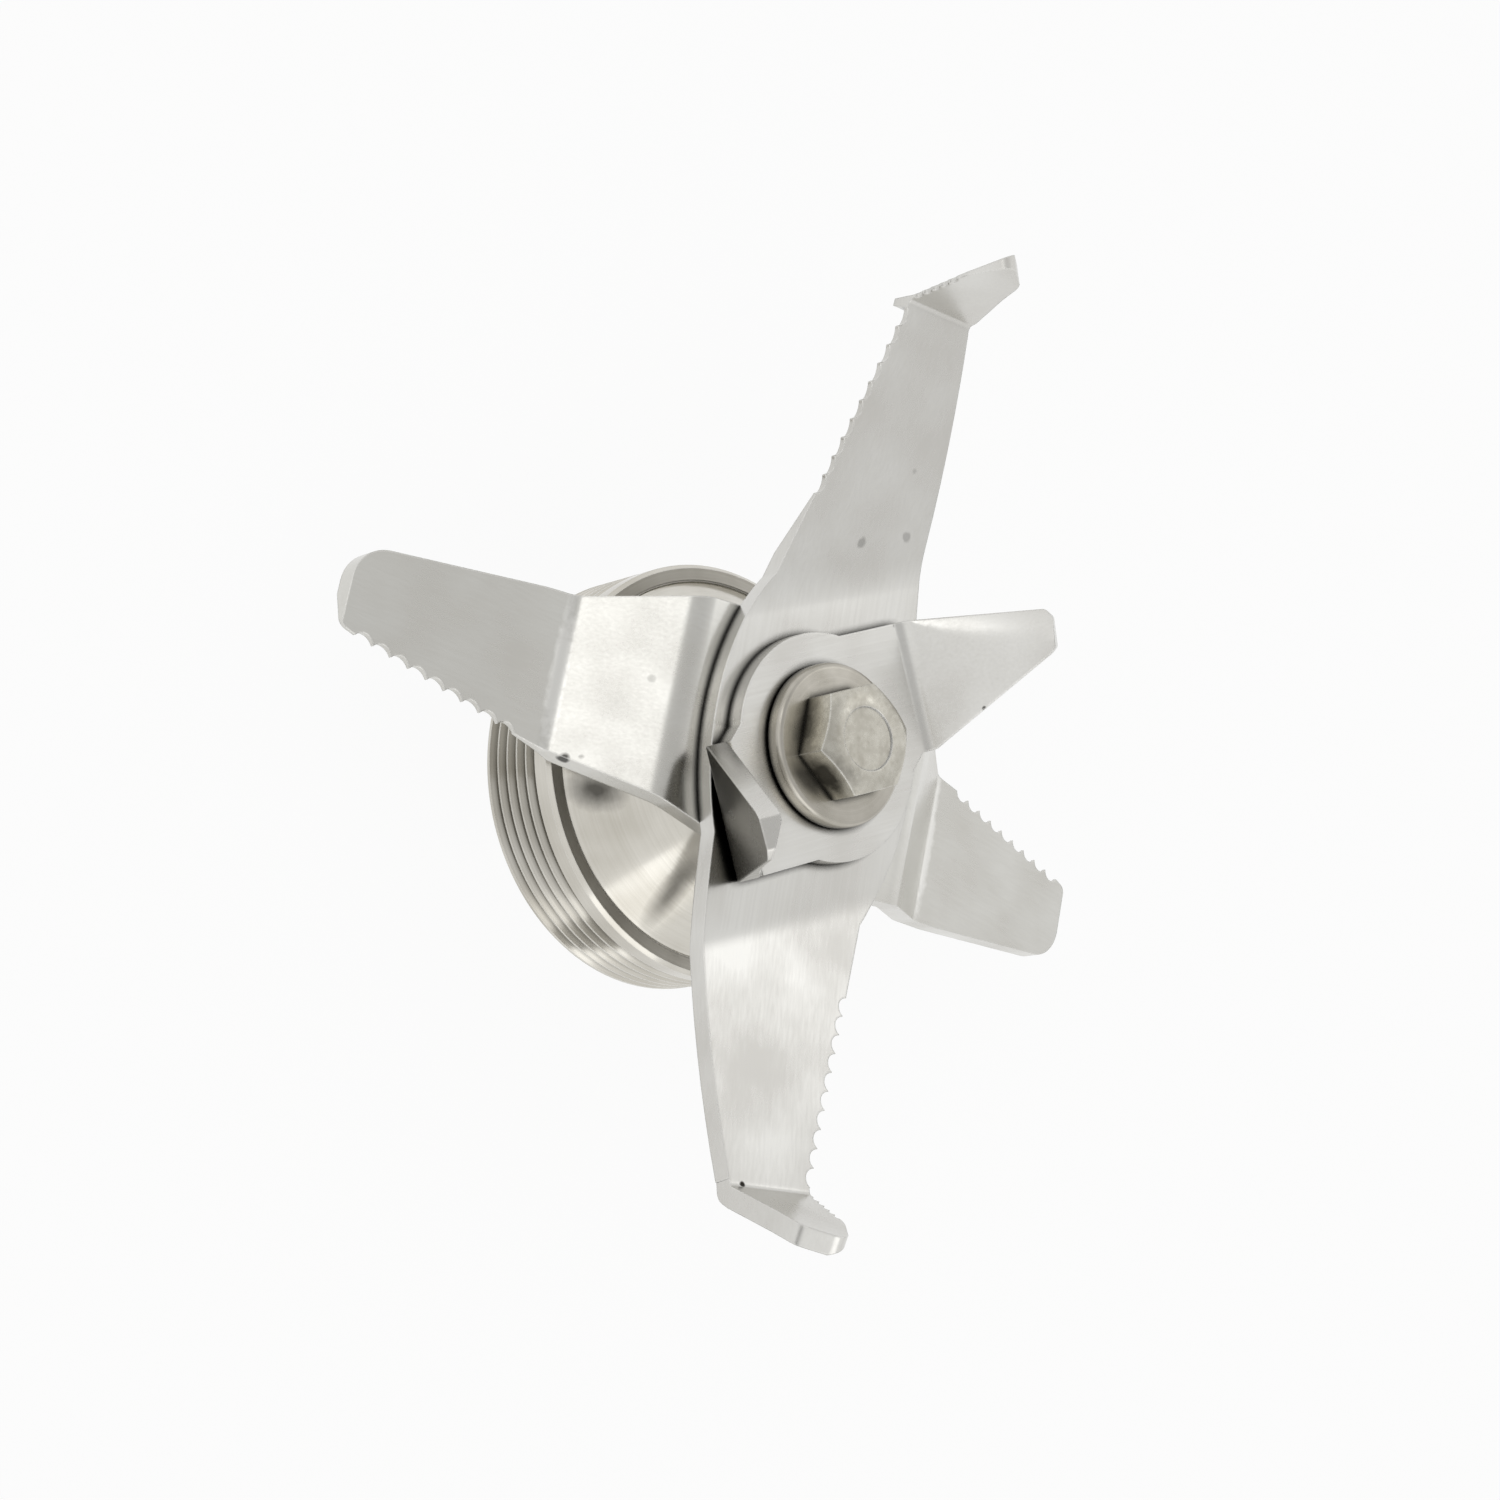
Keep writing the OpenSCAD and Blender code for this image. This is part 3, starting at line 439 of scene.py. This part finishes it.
@dataclass(frozen=True)
class NitrileRubber:
    """Moulded nitrile rubber: near black, matt, with a faint bloom on raised edges.

    Attributes:
        name: common name and how the surface was made.
        slot: slot of the record that the finish stands for; not used.
        body: colour of the clean rubber.
        bloom: colour of the grey bloom.
        grain_mm: size of the mould's spark-eroded grain.
        bloom_mm: size of the bloom's patches.
        roughness: lowest and highest roughness.
        relief_mm: depth of the grain in the bump.
        edge_mm: rounding of the edges.
        edge_lightening: how far a rubbed edge goes to the bloom.
    """

    name: str = "nitrile_rubber_moulded"
    slot: str = "seal_rubber"
    body: str = "#232325"
    bloom: str = "#3d3d3e"
    grain_mm: float = 0.25
    bloom_mm: float = 3.0
    roughness: tuple[float, float] = (0.5, 0.7)
    relief_mm: float = 0.01
    edge_mm: float = 0.15
    edge_lightening: float = 0.6

    def material(self) -> bpy.types.Material:
        """Builds the material.

        Returns:
            The finished material.
        """
        material, tree = new_material(self.name)
        place = add_node(tree, "ShaderNodeTexCoord").outputs["Object"]
        grain = add_node(tree, "ShaderNodeTexNoise", {"Scale": 1 / (self.grain_mm * MM), "Detail": 2.0},
                         {"Vector": place}).outputs["Fac"]
        patch = add_node(tree, "ShaderNodeTexNoise", {"Scale": 1 / (self.bloom_mm * MM), "Detail": 3.0},
                         {"Vector": place}).outputs["Fac"]
        rounded, edge = edge_rub_and_highlight(tree, self.edge_mm, self.edge_lightening)
        cover = add_node(tree, "ShaderNodeMath", {"operation": "MAXIMUM"}, {0: patch, 1: edge})
        colour = add_node(tree, "ShaderNodeMix",
                          {"data_type": "RGBA", 6: linear(self.body), 7: linear(self.bloom)},
                          {0: cover.outputs[0]}).outputs[2]
        smooth, coarse = self.roughness
        rough = add_node(tree, "ShaderNodeMapRange", {"To Min": smooth, "To Max": coarse}, {"Value": patch})
        bump = add_node(tree, "ShaderNodeBump", {"Strength": 0.4, "Distance": self.relief_mm * MM},
                        {"Height": grain, "Normal": rounded})
        shader = add_node(tree, "ShaderNodeBsdfPrincipled", {"Metallic": 0.0},
                          {"Base Color": colour, "Roughness": rough.outputs[0], "Normal": bump.outputs[0]})
        add_node(tree, "ShaderNodeOutputMaterial", {}, {"Surface": shader.outputs[0]})
        return material


@dataclass
class SoftShading:
    """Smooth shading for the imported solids, which keeps their real corners sharp.

    Attributes:
        sharp_angle: edges that turn by more degrees stay sharp.
        weld_mm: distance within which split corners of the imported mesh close.
    """

    sharp_angle: float = 32.0
    weld_mm: float = 0.0005
    group: bpy.types.NodeTree | None = field(default=None, init=False)

    def build(self) -> None:
        """Builds the geometry node group."""
        group = bpy.data.node_groups.new("smooth_by_angle", "GeometryNodeTree")
        group.interface.new_socket("Geometry", in_out="INPUT", socket_type="NodeSocketGeometry")
        group.interface.new_socket("Geometry", in_out="OUTPUT", socket_type="NodeSocketGeometry")
        mesh = add_node(group, "NodeGroupInput").outputs[0]
        bare = add_node(group, "GeometryNodeRemoveAttribute", {"Name": "custom_normal"}, {0: mesh})
        welded = add_node(group, "GeometryNodeMergeByDistance", {"Distance": self.weld_mm * MM},
                          {"Geometry": bare.outputs[0]})
        soft = add_node(group, "GeometryNodeSetShadeSmooth", {"domain": "FACE", "Shade Smooth": True},
                        {"Geometry": welded.outputs[0]})
        turn = add_node(group, "GeometryNodeInputMeshEdgeAngle")
        gentle = add_node(group, "FunctionNodeCompare",
                          {"data_type": "FLOAT", "operation": "LESS_THAN",
                           1: math.radians(self.sharp_angle)},
                          {0: turn.outputs["Unsigned Angle"]})
        edges = add_node(group, "GeometryNodeSetShadeSmooth", {"domain": "EDGE"},
                         {"Geometry": soft.outputs[0], "Shade Smooth": gentle.outputs[0]})
        add_node(group, "NodeGroupOutput", {}, {0: edges.outputs[0]})
        self.group = group

    def apply(self, piece: bpy.types.Object) -> None:
        """Gives a piece the shading modifier.

        Args:
            piece: a mesh object.
        """
        modifier = piece.modifiers.new("smooth_by_angle", "NODES")
        modifier.node_group = self.group


def dress(nodes: tuple[str, ...], finish: SteelFinish | NitrileRubber, shading: SoftShading) -> None:
    """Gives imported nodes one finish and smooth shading.

    Args:
        nodes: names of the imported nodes.
        finish: the finish that they share.
        shading: the shading modifier.
    """
    material = finish.material()
    for name in nodes:
        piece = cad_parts[name]
        piece.data.materials.clear()
        piece.data.materials.append(material)
        shading.apply(piece)
        log.info("%s: %s", name, finish.name)


@dataclass
class Collar:
    """Threaded collar and bearing cone, turned from one bar of stainless steel."""

    shading: SoftShading
    thread_mm: tuple[float, float, float, float] = (20.1, 20.75, 0.95, 8.45)
    cut_spacing_mm: float = 0.35
    # Painted dark reflections of the low blade's and the long blade's undersides on the cone
    dark_patches: tuple[Mark, ...] = (
        Mark((-7.6, 15.4, 12.6), (1.9, 3.2, 3.0), 0.85, blur=0.7),
        Mark((-15.0, 5.4, 14.0), (4.6, 1.3, 4.6), 0.7, blur=0.85),
    )

    def build(self) -> None:
        """Dresses the collar: 304 bar, turned; fine rings round the axis that fan out its highlights."""
        dress(("housing",), SteelFinish(
            name="stainless_304_turned", slot="collar_steel", made_by=MachinedBy.TURNING,
            light="#d2cfc7", dark="#bab6ac", groove_shade="#2b2925", roughness=(0.11, 0.18),
            line_mm=(10.0, self.cut_spacing_mm), cloud_mm=7.0, relief_mm=0.006, line_share=0.3,
            anisotropic=0.55, groove_mm=self.thread_mm, crevice_mm=0.12, faced=0.38, marks=self.dark_patches),
            self.shading)


@dataclass
class ShaftSeal:
    """Pressed case, rubber lip and garter spring around the spindle."""

    shading: SoftShading

    def build(self) -> None:
        """Dresses the seal's case, rubber and spring."""
        # Deep-drawn sheet: an even satin with soft draw lines down its wall
        dress(("seal_case",), SteelFinish(
            name="carbon_steel_sheet_drawn", slot="inner_steel", made_by=MachinedBy.TUMBLING,
            light="#a5a5a2", dark="#858581", roughness=(0.3, 0.45), line_mm=(1.2, 1.2), cloud_mm=4.0),
            self.shading)
        dress(("seal_rubber",), NitrileRubber(), self.shading)
        # Drawn spring wire: darker and smoother than the case
        dress(("garter_spring",), SteelFinish(
            name="spring_steel_wire_drawn", slot="spring_steel", made_by=MachinedBy.TURNING,
            light="#a9a9a5", dark="#868682", roughness=(0.2, 0.3), line_mm=(2.0, 0.25), cloud_mm=2.0,
            edge_mm=0.05), self.shading)


@dataclass
class Bearings:
    """Two small ball bearings, their spacers and the clip that holds them."""

    shading: SoftShading
    levels: tuple[str, ...] = ("upper", "lower")

    def build(self) -> None:
        """Dresses rings, balls, cages, shields, spacers and clips."""
        # Chrome steel, ground: bright, with rings too fine to see but for a soft sheen
        rings = tuple(f"{level}_{ring}_ring" for level in self.levels for ring in ("outer", "inner"))
        dress(rings, SteelFinish(
            name="bearing_steel_ground", slot="inner_steel", made_by=MachinedBy.TURNING,
            light="#bdbdbb", dark="#a2a2a0", roughness=(0.12, 0.22), line_mm=(4.0, 0.15), cloud_mm=4.0,
            relief_mm=0.002), self.shading)
        # Lapped balls: the smoothest surface of the unit
        dress(tuple(f"{level}_balls" for level in self.levels), SteelFinish(
            name="bearing_steel_lapped", slot="inner_steel", made_by=MachinedBy.TUMBLING,
            light="#d0d0ce", dark="#bcbcba", roughness=(0.05, 0.1), line_mm=(0.8, 0.8), cloud_mm=2.0,
            relief_mm=0.0005, edge_mm=0.02), self.shading)
        # Stamped brass: warm, dulled by oil
        dress(tuple(f"{level}_cage" for level in self.levels), SteelFinish(
            name="brass_sheet_stamped", slot="cage_brass", made_by=MachinedBy.TUMBLING,
            light="#c8a75c", dark="#95763a", groove_shade="#4d3a1c", rub_and_highlight_colour="#e2c988", roughness=(0.25, 0.4),
            line_mm=(0.8, 0.8), cloud_mm=2.0, edge_mm=0.05), self.shading)
        # Cold rolled shields and turned spacers: plain grey satin
        shields = tuple(f"{level}_shields" for level in self.levels)
        dress(shields + ("outer_spacer", "inner_spacer"), SteelFinish(
            name="carbon_steel_rolled", slot="inner_steel", made_by=MachinedBy.TURNING,
            light="#a9a9a6", dark="#8b8b88", roughness=(0.25, 0.4), line_mm=(4.0, 0.2), cloud_mm=3.0,
            edge_mm=0.05), self.shading)
        # Spring steel clips, blued by hardening: dark and even
        dress(("bore_clip", "shaft_clip"), SteelFinish(
            name="spring_steel_hardened", slot="spring_steel", made_by=MachinedBy.TUMBLING,
            light="#6c6c70", dark="#4a4a4e", rub_and_highlight_colour="#9a9a9c", roughness=(0.35, 0.5), line_mm=(1.0, 1.0),
            cloud_mm=3.0, edge_mm=0.08), self.shading)


@dataclass
class SpindleDrive:
    """Spindle, splined drive hub and cross pin."""

    shading: SoftShading

    def build(self) -> None:
        """Dresses the spindle and its drive."""
        # Turned and ground stainless bar
        dress(("spindle",), SteelFinish(
            name="stainless_spindle_turned", slot="spindle_steel", made_by=MachinedBy.TURNING,
            light="#c3c1bb", dark="#a19e96", roughness=(0.18, 0.3), line_mm=(6.0, 0.25), cloud_mm=5.0,
            relief_mm=0.01, anisotropic=0.4), self.shading)
        # Sintered hub: fine matt pores, dark where the coupling has rubbed
        dress(("drive_hub", "cross_pin"), SteelFinish(
            name="sintered_steel_sized", slot="spindle_steel", made_by=MachinedBy.TUMBLING,
            light="#9c9993", dark="#716e68", roughness=(0.35, 0.5), line_mm=(0.35, 0.35), cloud_mm=3.0,
            relief_mm=0.02), self.shading)


@dataclass
class Blades:
    """Three stacked blades of pressed stainless sheet, brushed along their length and ground at one edge."""

    shading: SoftShading
    grain_mm: tuple[float, float] = (22.0, 0.3)
    low_turn: float = 88.3
    wing_turn: float = -60.0
    press_marks: tuple[Mark, ...] = (
        Mark((0.4, 24.7, 16.1), (9.0, 0.9, 1.2), 0.7, "#f1f0ec"),
        Mark((-0.4, -24.7, 16.1), (9.0, 0.9, 1.2), 0.7, "#f1f0ec"),
        Mark((-7.7, 22.9, 16.9), (0.7, 0.6, 0.9), 0.9),
        Mark((-7.3, 21.6, 17.9), (0.4, 0.5, 0.6), 0.7),
        Mark((1.6, 17.8, 21.4), (0.5, 0.5, 0.6), 0.25),
    )
    stains: tuple[Mark, ...] = (
        Mark((-44.1, 3.0, 29.3), (0.35, 0.35, 0.35), 1.0),
        Mark((21.8, -0.5, 26.8), (0.7, 0.6, 0.6), 0.35),
        Mark((24.7, -6.1, 26.7), (0.6, 0.6, 0.6), 0.3),
        Mark((30.5, -4.0, 29.0), (0.4, 0.4, 0.4), 0.25),
    )
    wing_stains: tuple[Mark, ...] = (
        Mark((8.4, -14.5, 32.7), (0.3, 0.3, 0.3), 0.9),
    )

    def _sheet(self, name: str, light: str, dark: str, under_shade: str, turn: float,
               marks: tuple[Mark, ...]) -> SteelFinish:
        """Describes one blade's brushed sheet.

        Args:
            name: which blade.
            light: the clean metal.
            dark: the dull metal.
            under_shade: the painted shade on the lower faces.
            turn: direction of the brushing, in degrees about Z.
            marks: stains at known places.

        Returns:
            The finish.
        """
        return SteelFinish(
            name=f"stainless_420_brushed_{name}", slot="blade_steel", made_by=MachinedBy.BRUSHING,
            light=light, dark=dark, under_shade=under_shade, roughness=(0.2, 0.3), line_mm=self.grain_mm, turn=turn,
            cloud_mm=9.0, relief_mm=0.003, line_share=0.25, wave_mm=0.35, edge_mm=0.25, marks=marks)

    def build(self) -> None:
        """Dresses the blades: 420 sheet, belt brushed, so highlights spread across the fine lines."""
        # Lower faces get painted shade; the top blade's, which takes in the outer faces of its steep wings,
        # is the darkest
        finishes = {
            "low": self._sheet("low", "#d6d5d0", "#cac8c2", "#bdbbb6", self.low_turn, self.press_marks),
            "main": self._sheet("main", "#d6d5d1", "#cac8c3", "#bdbbb6", 0.0, self.stains),
            "top": self._sheet("top", "#d8d7d3", "#cccac5", "#6f6d67", self.wing_turn, self.wing_stains),
        }
        for name, finish in finishes.items():
            dress((f"{name}_blade",), finish, self.shading)


@dataclass
class Fastening:
    """Hex bolt and washer."""

    shading: SoftShading
    dark_patches: tuple[Mark, ...] = (
        Mark((-4.4, 2.5, 30.8), (2.6, 4.2, 2.6), 0.95, blur=0.5),
        Mark((0.0, 5.0, 30.0), (3.6, 1.0, 1.6), 0.8, blur=0.6),
    )

    def build(self) -> None:
        """Dresses the bolt and the washer."""
        # A2 bolt, cold headed and tumbled: warm grey, mottled, softer gloss than the blades
        dress(("hex_bolt",), SteelFinish(
            name="stainless_a2_headed_tumbled", slot="bolt_steel", made_by=MachinedBy.TUMBLING,
            light="#ccc9bf", dark="#b0aca1", roughness=(0.22, 0.34), line_mm=(0.7, 0.7), cloud_mm=3.0,
            relief_mm=0.03, edge_mm=0.25, marks=self.dark_patches), self.shading)
        # Stamped washer, tumbled: rounded, evenly dull
        dress(("washer",), SteelFinish(
            name="stainless_a2_stamped_tumbled", slot="bolt_steel", made_by=MachinedBy.TURNING,
            light="#bdb9b0", dark="#a5a197", roughness=(0.2, 0.3), line_mm=(3.0, 0.3), cloud_mm=3.0,
            relief_mm=0.004, edge_mm=0.2), self.shading)


@dataclass(frozen=True)
class Softbox:
    """A large soft lamp.

    Attributes:
        name: what it does.
        toward: direction from the part to the lamp.
        distance: metres from the part.
        size: side of the square lamp, in metres.
        radiance: brightness of its face, where 1 is white.
    """

    name: str
    toward: tuple[float, float, float]
    distance: float
    size: float
    radiance: float


@dataclass
class Studio:
    """Pale floor, soft light and the camera."""

    middle: Vector = field(default_factory=lambda: Vector((0.0, 0.0, 0.018)))
    floor_side: float = 6.0
    floor_white: str = "#f2f2f0"
    fibre_shade: str = "#eeeeec"
    fibre_mm: float = 1.5
    floor_glow: float = 0.93
    room_level: float = 0.62
    # Each shade of the room: its middle, where it starts and is full as a cosine, and how dark it is
    room_shades: tuple[tuple[tuple[float, float, float], float, float, float], ...] = (
        ((0.1, 0.1, 1.0), 0.62, 1.0, 0.66),
        ((0.0, -0.85, 0.5), 0.9, 0.99, 0.85),
        ((-0.4, 0.75, -0.5), 0.58, 0.95, 0.15),
    )
    camera_place: tuple[float, float, float] = (-0.105745, 0.197140, 0.267575)
    camera_right: tuple[float, float, float] = (0.164, -0.742, 0.650)
    camera_up: tuple[float, float, float] = (0.934, 0.329, 0.140)
    half_frame_mm: float = 75.0
    camera_reach_mm: float = 340.757
    lamps: tuple[Softbox, ...] = (
        Softbox("key", (0.36, 0.66, 0.67), 0.6, 0.18, 0.95),
        Softbox("side", (0.49, -0.48, 0.72), 0.6, 0.14, 0.75),
        Softbox("fill", (-0.8, -0.1, 0.6), 0.9, 0.6, 0.6),
    )

    def build(self) -> None:
        """Builds floor, lamps, room and camera."""
        self._floor()
        for lamp in self.lamps:
            self._lamp(lamp)
        self._room()
        self._camera()
        bpy.context.scene.view_settings.view_transform = "Standard"
        log.info("studio: floor, %d lamps, room and camera", len(self.lamps))

    def _seen_white(self, tree: bpy.types.NodeTree) -> bpy.types.NodeSocket:
        """Gives 1 for rays that show the background itself, and 0 for rays that light the part.

        Args:
            tree: the material's or the world's node tree.

        Returns:
            The socket with the ray's kind.
        """
        path = add_node(tree, "ShaderNodeLightPath")
        shown = path.outputs["Is Camera Ray"]
        for kind in ("Is Glossy Ray", "Is Transmission Ray"):
            shown = add_node(tree, "ShaderNodeMath", {"operation": "MAXIMUM"},
                             {0: shown, 1: path.outputs[kind]}).outputs[0]
        return shown

    def _floor(self) -> None:
        """Builds the floor: pale seamless paper that shows white and keeps a faint shadow."""
        half = self.floor_side / 2
        mesh = bpy.data.meshes.new("floor")
        corners = [(-half, -half, 0), (half, -half, 0), (half, half, 0), (-half, half, 0)]
        mesh.from_pydata(corners, [], [(0, 1, 2, 3)])
        floor = bpy.data.objects.new("floor", mesh)
        bpy.context.scene.collection.objects.link(floor)
        material, tree = new_material("paper_seamless")
        place = add_node(tree, "ShaderNodeTexCoord").outputs["Object"]
        fibre = add_node(tree, "ShaderNodeTexNoise", {"Scale": 1 / (self.fibre_mm * MM), "Detail": 2.0},
                         {"Vector": place})
        colour = add_node(tree, "ShaderNodeMix",
                          {"data_type": "RGBA", 6: linear(self.floor_white), 7: linear(self.fibre_shade)},
                          {0: fibre.outputs["Fac"]})
        paper = add_node(tree, "ShaderNodeBsdfDiffuse", {}, {"Color": colour.outputs[2]})
        glow = add_node(tree, "ShaderNodeEmission", {"Color": (1, 1, 1, 1), "Strength": 1.0})
        share = add_node(tree, "ShaderNodeMath", {"operation": "MULTIPLY", 1: self.floor_glow},
                         {0: self._seen_white(tree)})
        both = add_node(tree, "ShaderNodeMixShader", {},
                        {0: share.outputs[0], 1: paper.outputs[0], 2: glow.outputs[0]})
        add_node(tree, "ShaderNodeOutputMaterial", {}, {"Surface": both.outputs[0]})
        mesh.materials.append(material)

    def _lamp(self, lamp: Softbox) -> None:
        """Places one soft lamp that faces the part.

        Args:
            lamp: the lamp's sizes.
        """
        data = bpy.data.lights.new(lamp.name, "AREA")
        data.shape = "SQUARE"
        data.size = lamp.size
        data.energy = lamp.radiance * math.pi * lamp.size ** 2
        toward = Vector(lamp.toward).normalized()
        piece = bpy.data.objects.new(lamp.name, data)
        piece.matrix_world = Matrix.Translation(self.middle + toward * lamp.distance) @ toward.to_track_quat(
            "Z", "Y").to_matrix().to_4x4()
        piece.visible_camera = False
        bpy.context.scene.collection.objects.link(piece)

    def _room(self) -> None:
        """Builds the world: white where it is seen, darker overhead where metal mirrors it."""
        world = bpy.data.worlds.new("studio_room")
        bpy.context.scene.world = world
        world.use_nodes = True
        tree = world.node_tree
        tree.nodes.clear()
        toward = add_node(tree, "ShaderNodeTexCoord").outputs["Generated"]
        mirrored = None
        for middle, start, full, dark in self.room_shades:
            near = add_node(tree, "ShaderNodeVectorMath",
                            {"operation": "DOT_PRODUCT", 1: tuple(Vector(middle).normalized())}, {0: toward})
            shade = add_node(tree, "ShaderNodeMapRange",
                             {"interpolation_type": "SMOOTHSTEP", "From Min": start, "From Max": full,
                              "To Min": 1.0, "To Max": dark}, {"Value": near.outputs["Value"]})
            mirrored = shade if mirrored is None else add_node(
                tree, "ShaderNodeMath", {"operation": "MULTIPLY"},
                {0: mirrored.outputs[0], 1: shade.outputs[0]})
        path = add_node(tree, "ShaderNodeLightPath")
        level = add_node(tree, "ShaderNodeMix", {"data_type": "FLOAT", 2: self.room_level},
                         {0: path.outputs["Is Glossy Ray"], 3: mirrored.outputs[0]})
        seen = add_node(tree, "ShaderNodeMath", {"operation": "MAXIMUM"},
                        {0: path.outputs["Is Camera Ray"], 1: path.outputs["Is Transmission Ray"]})
        strength = add_node(tree, "ShaderNodeMix", {"data_type": "FLOAT", 3: 1.0},
                            {0: seen.outputs[0], 2: level.outputs[0]})
        room = add_node(tree, "ShaderNodeBackground", {"Color": (1, 1, 1, 1)},
                        {"Strength": strength.outputs[0]})
        add_node(tree, "ShaderNodeOutputWorld", {}, {"Surface": room.outputs[0]})

    def _camera(self) -> None:
        """Places the camera at the photograph's view."""
        right = Vector(self.camera_right).normalized()
        up = Vector(self.camera_up)
        back = right.cross(up).normalized()
        up = back.cross(right)
        turn = Matrix((right, up, back)).transposed().to_4x4()
        data = bpy.data.cameras.new("camera")
        data.sensor_fit = "HORIZONTAL"
        data.angle = 2 * math.atan(self.half_frame_mm / self.camera_reach_mm)
        data.clip_start = 0.01
        data.clip_end = 20.0
        camera = bpy.data.objects.new("camera", data)
        camera.matrix_world = Matrix.Translation(self.camera_place) @ turn
        bpy.context.scene.collection.objects.link(camera)
        bpy.context.scene.camera = camera


def main() -> None:
    """Builds the pieces in order."""
    logging.basicConfig(level=logging.INFO, format="%(message)s")
    shading = SoftShading()
    shading.build()
    for piece in (Collar(shading), ShaftSeal(shading), Bearings(shading), SpindleDrive(shading),
                  Blades(shading), Fastening(shading), Studio()):
        piece.build()
        log.info("%s done", type(piece).__name__)


if __name__ == "__main__":
    main()
